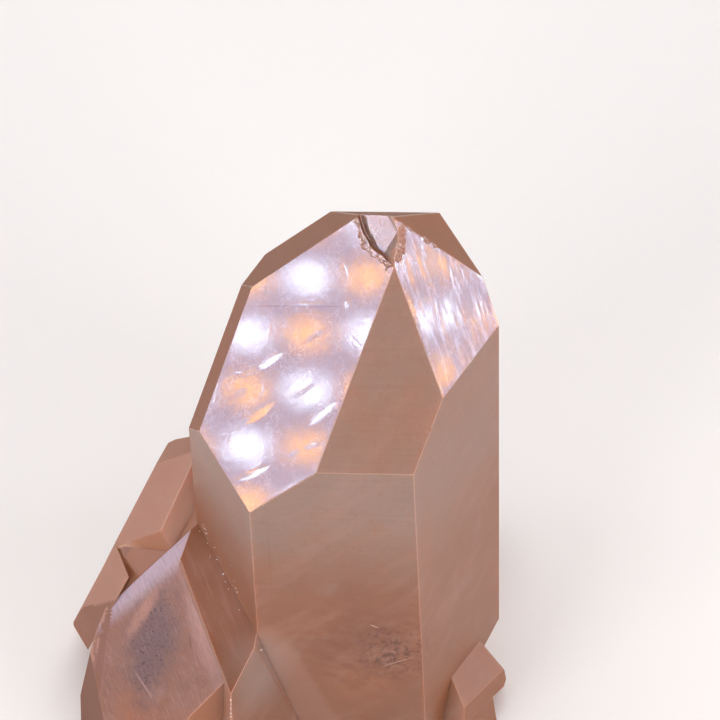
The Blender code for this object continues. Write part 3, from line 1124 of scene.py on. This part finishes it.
# Lamp panels that the two bright tip faces mirror: place, a point that the panel faces, its roll in degrees,
# and where a cool lamp lies on it
LAMP_PANELS = {
    "left_panel": ((-403.1, 0.52, 24.75), (0.0, -1.485, 0.042), 58.396, (1.2, -3.4)),
    "right_panel": ((409.1, 0.09, 52.04), (-1.471, 6.511, 5.656), -57.063, (-2.0, -1.5)),
}
PANEL_SIZE = (110.0, 110.0)
LAMP_PITCH = (10.3, 9.5)

# Brightness of the diffuser, and of each lamp at its rim and in its middle
DIFFUSER = (4.2, 4.2, 6.6, 1.0)
COOL_RIM = (19.0, 23.0, 33.0, 1.0)
COOL_MIDDLE = (40.0, 42.0, 45.0, 1.0)
WARM_RIM = (20.0, 7.0, 1.5, 1.0)
WARM_MIDDLE = (36.0, 22.0, 8.0, 1.0)

# Power of an area light for each square metre at which its light is as bright as its colour says
UNIT_POWER = np.pi

FLOOR_SIZE = 6.0
FLOOR_WHITE = (0.86, 0.85, 0.84, 1.0)
WORLD_WHITE = (0.95, 0.93, 0.95, 1.0)


def in_frame(place):
    """A place in the large crystal's millimetres, in the metres of the frame."""
    return (np.array(place) + STAND) * MM


def put_facing(name, data, place, aim, roll=0.0):
    """Puts a camera or lamp in the scene, facing an aim with its own -Z, its side level but for the roll."""
    back = np.array(place) - np.array(aim)
    back = back / np.linalg.norm(back)
    side, over = face_axes(back)
    turn = np.radians(roll)
    axes = [side * np.cos(turn) + over * np.sin(turn), over * np.cos(turn) - side * np.sin(turn), back]
    put = bpy.data.objects.new(name, data)
    put.matrix_world = Matrix.Translation(place) @ Matrix(np.stack(axes, axis=1).tolist()).to_4x4()
    bpy.context.scene.collection.objects.link(put)
    return put


def camera():
    data = bpy.data.cameras.new("camera")
    data.lens = LENS
    data.sensor_width = SENSOR
    data.clip_start = 0.01
    data.clip_end = 20.0
    place, aim = in_frame(CAMERA_PLACE), in_frame(CAMERA_AIM)
    bpy.context.scene.camera = put_facing("camera", data, place, aim, CAMERA_ROLL)


def soft_lamp(name, place, aim, size, power):
    data = bpy.data.lights.new(name, "AREA")
    data.shape = "RECTANGLE"
    data.size, data.size_y = size
    data.energy = power
    data.color = SOFT_WHITE
    put_facing(name, data, place, aim)


def lamp_panel(name, place, aim, roll, cool_lamp):
    """A flat panel of alternating cool and warm lamps behind a lavender diffuser."""
    data = bpy.data.lights.new(name, "AREA")
    data.shape = "RECTANGLE"
    data.size, data.size_y = (length * MM for length in PANEL_SIZE)
    data.energy = UNIT_POWER * data.size * data.size_y
    data.use_nodes = True
    tree = data.node_tree
    flat = new_node(tree, "ShaderNodeNewGeometry").outputs["Parametric"]
    cells = np.array(PANEL_SIZE) / LAMP_PITCH
    start = -cells / 2 - np.array(cool_lamp) / LAMP_PITCH
    moved = new_node(
        tree,
        "ShaderNodeMapping",
        {"Vector": flat, "Location": (start[0], start[1], 0.0), "Scale": (cells[0], cells[1], 0.0)},
    ).outputs[0]
    shifted = new_node(tree, "ShaderNodeVectorMath", {0: moved, 1: (0.5, 0.5, 0.0)}).outputs[0]
    whole = new_node(tree, "ShaderNodeVectorMath", {0: shifted}, operation="FLOOR").outputs[0]
    rest = new_node(tree, "ShaderNodeVectorMath", {0: moved, 1: whole}, operation="SUBTRACT").outputs[0]
    away = new_node(tree, "ShaderNodeVectorMath", {0: rest}, operation="LENGTH").outputs["Value"]
    glow = stretched(tree, away, 0.32, 0.2)
    core = stretched(tree, away, 0.24, 0.02)
    parts = new_node(tree, "ShaderNodeSeparateXYZ", {0: whole})
    total = times(tree, parts.outputs["X"], parts.outputs["Y"], "ADD")
    odd = times(tree, total, 2.0, "FLOORED_MODULO")
    cool = mixed(tree, core, COOL_RIM, COOL_MIDDLE)
    warm = mixed(tree, core, WARM_RIM, WARM_MIDDLE)
    lamp = mixed(tree, odd, cool, warm)
    light = mixed(tree, glow, DIFFUSER, lamp)
    tree.links.new(light, tree.nodes["Emission"].inputs["Color"])
    put_facing(name, data, in_frame(place), in_frame(aim), roll)


def floor():
    bpy.ops.mesh.primitive_plane_add(size=FLOOR_SIZE, location=(0.0, 0.0, 0.0))
    piece = bpy.context.object
    piece.name = "floor"
    material = bpy.data.materials.new("pale_floor")
    material.use_nodes = True
    surface = material.node_tree.nodes["Principled BSDF"]
    surface.inputs["Base Color"].default_value = FLOOR_WHITE
    surface.inputs["Roughness"].default_value = 0.8
    piece.data.materials.append(material)


def world():
    surroundings = bpy.data.worlds.new("studio")
    surroundings.use_nodes = True
    background = surroundings.node_tree.nodes["Background"]
    background.inputs["Color"].default_value = WORLD_WHITE
    background.inputs["Strength"].default_value = 0.3
    bpy.context.scene.world = surroundings
    bpy.context.scene.view_settings.view_transform = "Standard"


for piece in (crystal_cluster(), seam_dust()):
    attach(piece, "root")
    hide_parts(NODE)
camera()
world()
floor()
for title, panel in LAMP_PANELS.items():
    lamp_panel(title, *panel)
for title, lamp in SOFT_LAMPS.items():
    soft_lamp(title, *lamp)
